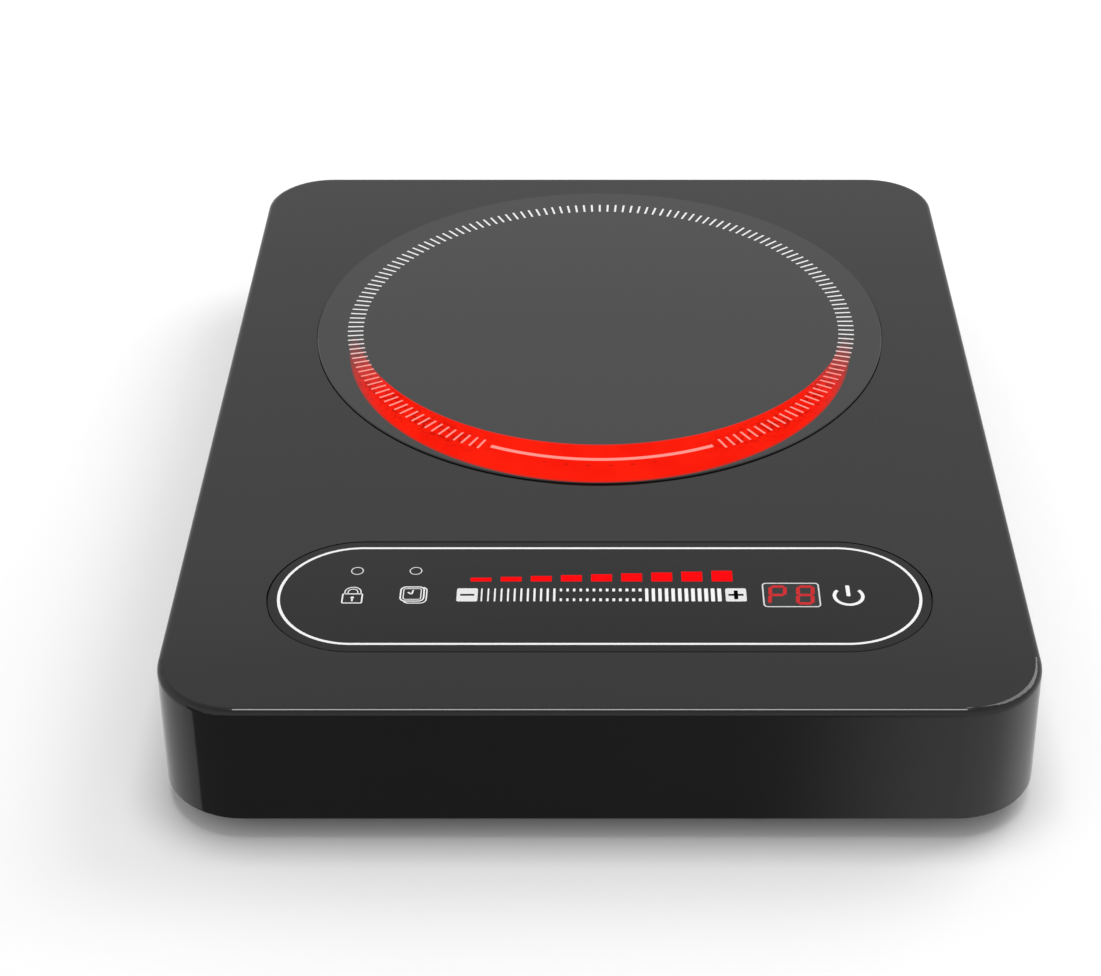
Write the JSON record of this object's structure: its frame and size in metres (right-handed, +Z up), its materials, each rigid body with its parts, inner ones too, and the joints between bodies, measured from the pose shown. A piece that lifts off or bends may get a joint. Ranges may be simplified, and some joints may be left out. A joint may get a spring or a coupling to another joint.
{
  "type": "induction cooktop",
  "caption": "Portable black induction cooktop: flat rounded body with a flush round cooking glass, a red-lit front rim and a long round-ended touch panel.",
  "frame": {"origin": "on the surface that the feet rest on, under the middle of the body's outline", "axes": "+X to the user's right, +Y to the back, +Z up; the control glass is at the front, -Y"},
  "size_m": [0.304, 0.3868, 0.0558],
  "materials": {
    "housing_black": "polished black moulding with a faint orange peel",
    "disc_glass": "polished smoky black cooking glass, back-printed",
    "black_glass": "polished black control glass, back-printed",
    "base_plastic": "fine spark-textured black plastic",
    "rubber_black": "matt black rubber",
    "seal_silicone": "black silicone",
    "clear_acrylic": "frosted acrylic lit red",
    "red_light": "lit red light windows",
    "board_laminate": "green solder mask on glass-fibre laminate",
    "coil_copper": "enamelled copper strands",
    "carrier_plastic": "natural heat-resistant moulding",
    "ferrite": "dark grey sintered ferrite",
    "mica": "golden-grey mica sheet",
    "screw_steel": "zinc-plated steel",
    "sensor_metal": "plain aluminium cap",
    "lead_sleeve": "woven and silicone lead sleeves",
    "heat_sink_aluminium": "extruded aluminium",
    "component_black": "moulded component bodies",
    "capacitor_film": "blue dipped and boxed parts",
    "choke_wire": "enamelled copper wire on a ring core",
    "fuse_ceramic": "ceramic fuse with metal caps",
    "terminal_plastic": "white terminal and socket plastic",
    "white_print": "fired white print on glass"
  },
  "bodies": {
    "body": {"upper_housing": "housing_black", "glass_disc": "disc_glass", "control_glass": "black_glass", "base_cover": "base_plastic", "fan_frame": "base_plastic", "air_guide": "base_plastic", "front_left_foot": "rubber_black", "front_right_foot": "rubber_black", "rear_left_foot": "rubber_black", "rear_right_foot": "rubber_black", "cord_bush": "rubber_black", "disc_seal": "seal_silicone", "control_seal": "seal_silicone", "light_guide": "clear_acrylic", "ring_lights": "red_light", "level_bars": "red_light", "indicator_lights": "red_light", "light_board": "board_laminate", "control_board": "board_laminate", "main_board": "board_laminate", "induction_coil": "coil_copper", "coil_carrier": "carrier_plastic", "control_bracket": "carrier_plastic", "ferrite_bars": "ferrite", "mica_sheet": "mica", "housing_screws": "screw_steel", "coil_screws": "screw_steel", "control_screws": "screw_steel", "device_screws": "screw_steel", "board_screws": "screw_steel", "fan_screws": "screw_steel", "fan_stator": "screw_steel", "sensor_spring": "screw_steel", "touch_springs": "screw_steel", "coil_terminals": "screw_steel", "coil_leads": "lead_sleeve", "fan_lead": "lead_sleeve", "ribbon_cable": "lead_sleeve", "heat_sink": "heat_sink_aluminium", "power_transistor": "component_black", "bridge_rectifier": "component_black", "control_chip": "component_black", "sounder": "component_black", "slider_electrode": "component_black", "smoothing_capacitor": "component_black", "standby_transformer": "component_black", "digit_display": "component_black", "filter_capacitor": "capacitor_film", "resonant_capacitor": "capacitor_film", "surge_varistor": "capacitor_film", "filter_choke": "choke_wire", "mains_fuse": "fuse_ceramic", "mains_terminal": "terminal_plastic", "fan_connector": "terminal_plastic", "ribbon_socket": "terminal_plastic"},
    "fan": {"fan_rotor": "base_plastic", "fan_shaft": "screw_steel"},
    "sensor": {"sensor_holder": "carrier_plastic", "thermistor": "sensor_metal"}
  },
  "joints": [
    {"name": "fan_spin", "type": "hinge", "parent": "body", "child": "fan", "pos_m": [-0.082, -0.112, 0.022], "axis": [0, 0, 1], "continuous": true},
    {"name": "sensor_press", "type": "slide", "parent": "body", "child": "sensor", "axis": [0, 0, 1], "range_m": [-0.003, 0], "stiffness_N_per_m": 200, "springref_m": 0.003, "deforming": ["sensor_spring"]}
  ]
}
